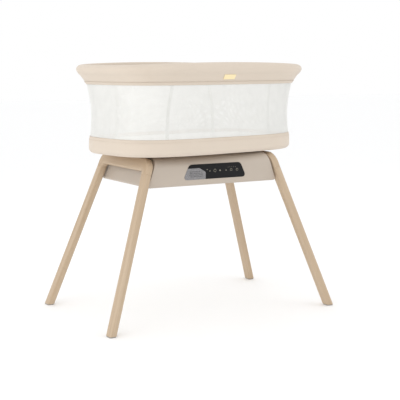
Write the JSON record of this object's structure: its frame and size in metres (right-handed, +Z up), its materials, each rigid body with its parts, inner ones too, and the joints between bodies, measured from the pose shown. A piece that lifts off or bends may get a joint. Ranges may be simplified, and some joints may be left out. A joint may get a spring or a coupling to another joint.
{
  "type": "bassinet on stand",
  "caption": "Oval mesh-sided bassinet basket that sways on a motor housing between two leaning wooden A-frames.",
  "frame": {"origin": "on the floor, under the spindle that the basket turns on, at the middle of the stand", "axes": "+Z up, +X along the stand's length towards the viewer's right, -Y towards the side with the control panel"},
  "size_m": [0.9698, 0.6018, 0.9471],
  "materials": {
    "ash_wood": "clear matt lacquer, fine straight grain",
    "felt": "pressed grey felt",
    "plated_steel": "zinc plated",
    "brass_insert": "turned",
    "case_plastic": "fine moulded texture, warm grey",
    "gloss_black": "polished",
    "speaker_mesh": "fine perforated",
    "dark_plastic": "moulded",
    "circuit_board": "solder mask",
    "cast_alloy": "as cast",
    "bush_bronze": "sintered",
    "glide_plastic": "low friction",
    "belt_rubber": "matt",
    "table_plastic": "moulded",
    "board_wood": "sealed fibreboard",
    "tube_steel": "powder coat",
    "mattress_cloth": "white woven cover",
    "beige_cloth": "fine woven polyester",
    "white_mesh": "open knitted mesh",
    "gold_plate": "satin"
  },
  "bodies": {
    "stand": {"left_frame_top": "ash_wood", "right_frame_top": "ash_wood", "front_left_leg": "ash_wood", "rear_left_leg": "ash_wood", "front_right_leg": "ash_wood", "rear_right_leg": "ash_wood", "leg_dowels": "ash_wood", "foot_pads": "felt", "frame_inserts": "brass_insert", "frame_bolts": "plated_steel", "frame_spacers": "plated_steel", "chassis": "plated_steel", "housing_shell": "case_plastic", "housing_base": "case_plastic", "housing_screws": "plated_steel", "chassis_screws": "plated_steel", "control_panel": "gloss_black", "speaker_grille": "speaker_mesh", "speaker_driver": "dark_plastic", "touch_board": "circuit_board", "control_board": "circuit_board", "board_screws": "plated_steel", "power_inlet": "dark_plastic", "gear_motor": "plated_steel", "motor_screws": "plated_steel", "bearing_block": "cast_alloy", "bearing_screws": "plated_steel", "spindle_bushes": "bush_bronze", "glide_pads": "glide_plastic", "drive_belt": "belt_rubber"},
    "basket": {"spindle": "plated_steel", "spindle_clip": "plated_steel", "spindle_pulley": "cast_alloy", "turntable": "table_plastic", "turntable_screws": "plated_steel", "base_board": "board_wood", "base_tube": "tube_steel", "mattress": "mattress_cloth", "lower_band": "beige_cloth", "mesh_wall": "white_mesh", "wall_stays": "tube_steel", "rim_tube": "tube_steel", "rim_cover": "beige_cloth", "rim_hem": "beige_cloth", "label_plate": "gold_plate"},
    "motor_rotor": {"motor_shaft": "plated_steel", "motor_pulley": "cast_alloy"}
  },
  "joints": [
    {"name": "basket_sway", "type": "hinge", "parent": "stand", "child": "basket", "pos_m": [0, 0, 0.55], "axis": [0, 0, 1], "range_deg": [-17.2, 0]},
    {"name": "motor_turn", "type": "hinge", "parent": "stand", "child": "motor_rotor", "pos_m": [0.12, 0, 0.52], "axis": [0, 0, 1], "range_deg": [-90, 2]}
  ],
  "couplings": [
    {"joint": "motor_turn", "follows": "basket_sway", "ratio": 5}
  ]
}
